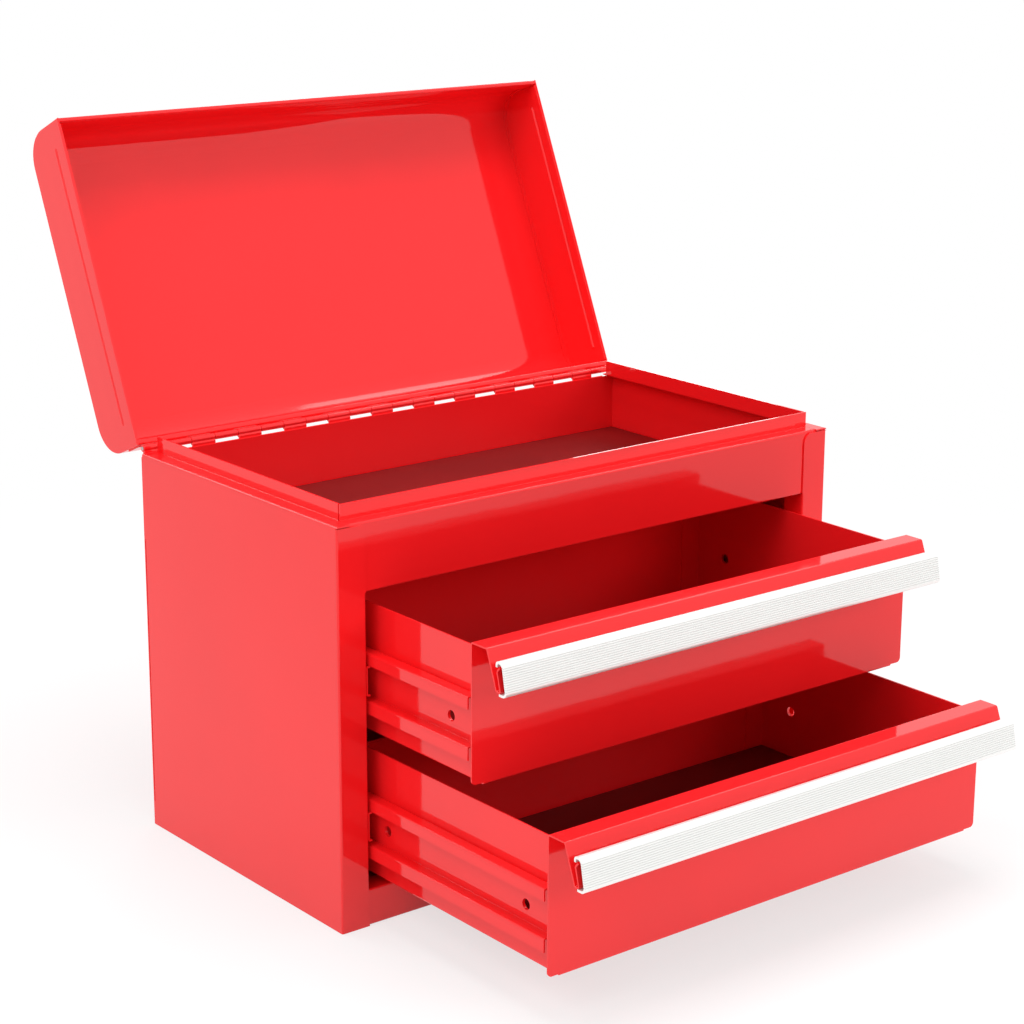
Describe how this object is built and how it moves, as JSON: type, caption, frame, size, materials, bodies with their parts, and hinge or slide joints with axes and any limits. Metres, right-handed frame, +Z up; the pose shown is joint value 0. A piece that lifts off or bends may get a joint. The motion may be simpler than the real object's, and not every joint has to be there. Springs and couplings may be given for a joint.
{
  "type": "portable tool box with drawers",
  "caption": "Small red sheet-steel tool box with an open top till under a hinged lid, and shallow drawers with full-width aluminium pulls below.",
  "frame": {"origin": "middle of the cabinet's underside, on the surface that it stands on", "axes": "+Z up, the drawers open towards -Y, +X to the right seen from the front"},
  "size_m": [0.33, 0.4497, 0.381],
  "materials": {
    "red_enamel": "gloss",
    "pull_aluminium": "satin, grooved",
    "liner": "matt",
    "hinge_steel": "plain"
  },
  "bodies": {
    "cabinet": {"side_panel_left": "red_enamel", "side_panel_right": "red_enamel", "front_header": "red_enamel", "base_panel": "red_enamel", "back_panel": "red_enamel", "till_floor": "red_enamel", "till_mat": "liner", "rear_post_left": "red_enamel", "rear_post_right": "red_enamel", "upper_runner_left": "red_enamel", "upper_runner_right": "red_enamel", "lower_runner_left": "red_enamel", "lower_runner_right": "red_enamel", "hinge_leaf_body": "red_enamel", "hinge_pin": "hinge_steel"},
    "lid": {"lid_shell": "red_enamel", "lid_end_left": "red_enamel", "lid_end_right": "red_enamel", "hinge_leaf_lid": "red_enamel"},
    "upper_drawer": {"upper_drawer_pan": "red_enamel", "upper_drawer_back": "red_enamel", "upper_drawer_front": "red_enamel", "upper_drawer_rail_left": "red_enamel", "upper_drawer_rail_right": "red_enamel", "upper_drawer_pull": "pull_aluminium", "upper_drawer_mat": "liner"},
    "lower_drawer": {"lower_drawer_pan": "red_enamel", "lower_drawer_back": "red_enamel", "lower_drawer_front": "red_enamel", "lower_drawer_rail_left": "red_enamel", "lower_drawer_rail_right": "red_enamel", "lower_drawer_pull": "pull_aluminium", "lower_drawer_mat": "liner"}
  },
  "joints": [
    {"name": "lid_hinge", "type": "hinge", "parent": "cabinet", "child": "lid", "pos_m": [0, 0.0933, 0.213], "axis": [-1, 0, 0], "range_deg": [-113.6, 0]},
    {"name": "upper_drawer_slide", "type": "slide", "parent": "cabinet", "child": "upper_drawer", "axis": [0, -1, 0], "range_m": [-0.0937, 0.0571]},
    {"name": "lower_drawer_slide", "type": "slide", "parent": "cabinet", "child": "lower_drawer", "axis": [0, -1, 0], "range_m": [-0.1508, 0]}
  ]
}
